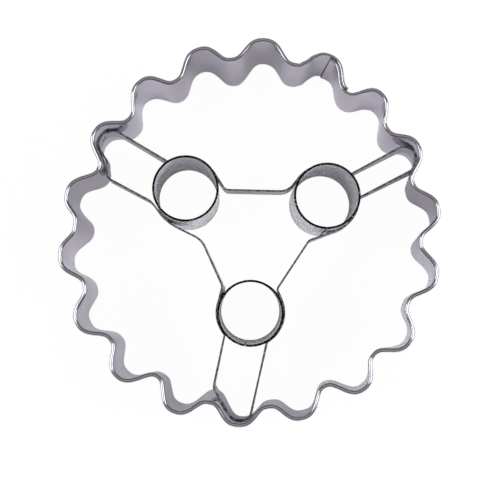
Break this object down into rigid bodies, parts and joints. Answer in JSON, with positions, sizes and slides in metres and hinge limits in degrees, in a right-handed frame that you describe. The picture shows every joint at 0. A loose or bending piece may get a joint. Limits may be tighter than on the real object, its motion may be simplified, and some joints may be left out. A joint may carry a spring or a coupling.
{
  "type": "cookie cutter",
  "caption": "Round fluted linzer cookie cutter of sheet steel with a rolled rim and small eye rings, which a bent strip carries inside.",
  "frame": {"origin": "middle of the outline, in the plane of the cutting edges", "axes": "+Z from the cutting edges up to the rolled rim; +X and +Y in the cutting plane, with one arm towards -Y"},
  "size_m": [0.0694, 0.0704, 0.02],
  "materials": {
    "band_steel": "bright cold-rolled sheet with a fine grain",
    "ring_steel": "satin sheet with dark raw edges",
    "strip_steel": "bright sheet with raw sheared edges",
    "weld_steel": "dull heat-tinted weld"
  },
  "bodies": {
    "root": {"fluted_band": "band_steel", "eye_ring_right": "ring_steel", "eye_ring_left": "ring_steel", "eye_ring_bottom": "ring_steel", "holder_strip": "strip_steel", "lap_weld_1": "weld_steel", "lap_weld_2": "weld_steel", "ring_seam_right": "weld_steel", "ring_seam_left": "weld_steel", "ring_seam_bottom": "weld_steel", "arm_weld_right": "weld_steel", "arm_weld_left": "weld_steel", "arm_weld_bottom": "weld_steel", "ring_weld_right_1": "weld_steel", "ring_weld_right_2": "weld_steel", "ring_weld_left_1": "weld_steel", "ring_weld_left_2": "weld_steel", "ring_weld_bottom_1": "weld_steel", "ring_weld_bottom_2": "weld_steel"}
  },
  "joints": []
}
